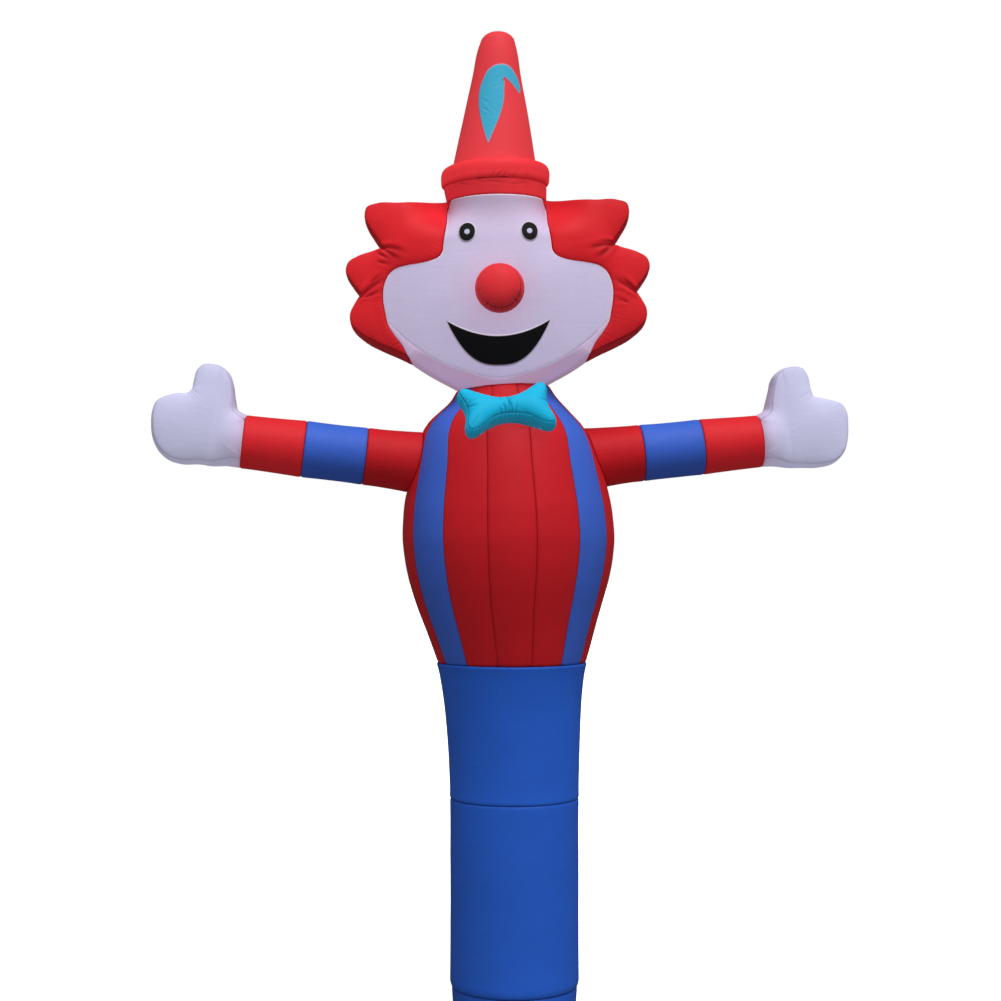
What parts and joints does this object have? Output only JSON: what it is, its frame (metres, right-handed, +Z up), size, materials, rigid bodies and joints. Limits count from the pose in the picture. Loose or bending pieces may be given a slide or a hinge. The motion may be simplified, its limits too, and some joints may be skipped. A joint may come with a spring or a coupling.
{
  "type": "inflatable air dancer",
  "caption": "Inflatable clown air dancer of sewn cloth on a leg tube, with gored torso, level arms, mitten hands, boxed head, lobed hair and tall cone hat; open at the foot for a blower.",
  "frame": {"origin": "on the floor under the middle of the figure's bounding box; the leg stands a little to the right of it and behind it", "axes": "+Z up along the figure, -Y is the way the face looks, +X runs along the arms to the figure's left hand"},
  "size_m": [2.4396, 0.7966, 3.499],
  "materials": {
    "red_cloth": "matte woven nylon, red",
    "blue_cloth": "matte woven nylon, blue",
    "white_cloth": "matte woven nylon, white with a lilac cast",
    "cyan_cloth": "matte woven nylon, bright cyan",
    "teal_cloth": "matte woven nylon, dull cyan",
    "black_cloth": "matte woven nylon, black"
  },
  "bodies": {
    "root": {"arm_left_inner_band": "red_cloth", "arm_left_middle_band": "blue_cloth", "arm_left_outer_band": "red_cloth", "arm_right_inner_band": "red_cloth", "arm_right_middle_band": "blue_cloth", "arm_right_outer_band": "red_cloth", "base_collar": "blue_cloth", "bow_back": "cyan_cloth", "bow_front": "cyan_cloth", "bow_gusset": "cyan_cloth", "chin_funnel": "white_cloth", "eye_left": "black_cloth", "eye_right": "black_cloth", "face_panel": "white_cloth", "hair_back": "red_cloth", "hair_front_left": "red_cloth", "hair_front_right": "red_cloth", "hair_gusset_left": "red_cloth", "hair_gusset_right": "red_cloth", "hand_left_back": "white_cloth", "hand_left_front": "white_cloth", "hand_left_gusset": "white_cloth", "hand_right_back": "white_cloth", "hand_right_front": "white_cloth", "hand_right_gusset": "white_cloth", "hat_band": "red_cloth", "hat_cone": "red_cloth", "hat_feather": "teal_cloth", "hat_roll": "red_cloth", "leg_lower": "blue_cloth", "leg_upper": "blue_cloth", "mouth": "black_cloth", "nape_funnel": "white_cloth", "nose_front": "red_cloth", "nose_side": "red_cloth", "pupil_left": "white_cloth", "pupil_right": "white_cloth", "torso_gore_01": "red_cloth", "torso_gore_02": "red_cloth", "torso_gore_03": "blue_cloth", "torso_gore_04": "red_cloth", "torso_gore_05": "red_cloth", "torso_gore_06": "blue_cloth", "torso_gore_07": "red_cloth", "torso_gore_08": "red_cloth", "torso_gore_09": "red_cloth", "torso_gore_10": "blue_cloth", "torso_gore_11": "red_cloth", "torso_gore_12": "red_cloth", "torso_gore_13": "blue_cloth", "torso_gore_14": "red_cloth"}
  },
  "joints": []
}
